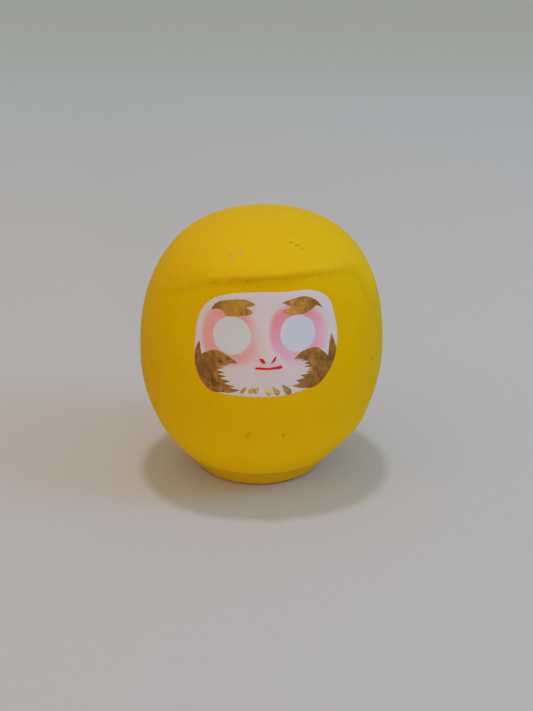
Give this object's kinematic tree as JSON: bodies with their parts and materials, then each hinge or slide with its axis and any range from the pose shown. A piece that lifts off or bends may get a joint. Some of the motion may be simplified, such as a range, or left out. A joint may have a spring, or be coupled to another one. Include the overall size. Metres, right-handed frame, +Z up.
{
  "type": "daruma doll",
  "caption": "Egg-shaped hollow papier-mache doll on a weighted clay foot, hooded over a flat painted face with blank eyes, brows, whiskers and a small mouth.",
  "frame": {"origin": "centre of the foot's flat underside, on the surface that the doll stands on", "axes": "+Z up through the crown, -Y out of the face, +X towards the doll's own left side"},
  "size_m": [0.08, 0.08, 0.088],
  "materials": {
    "yellow_paper": "matte",
    "seam_paper": "matte",
    "clay": "matte",
    "white_ground": "matte",
    "eye_white": "matte",
    "gold_paint": "satin",
    "red_paint": "gloss"
  },
  "bodies": {
    "root": {"paper_shell": "yellow_paper", "seam_strip": "seam_paper", "base_weight": "clay", "face_ground": "white_ground", "left_eye": "eye_white", "right_eye": "eye_white", "left_brow": "gold_paint", "right_brow": "gold_paint", "left_whiskers": "gold_paint", "right_whiskers": "gold_paint", "chin_dabs": "gold_paint", "nostrils": "red_paint", "mouth": "red_paint"}
  },
  "joints": []
}
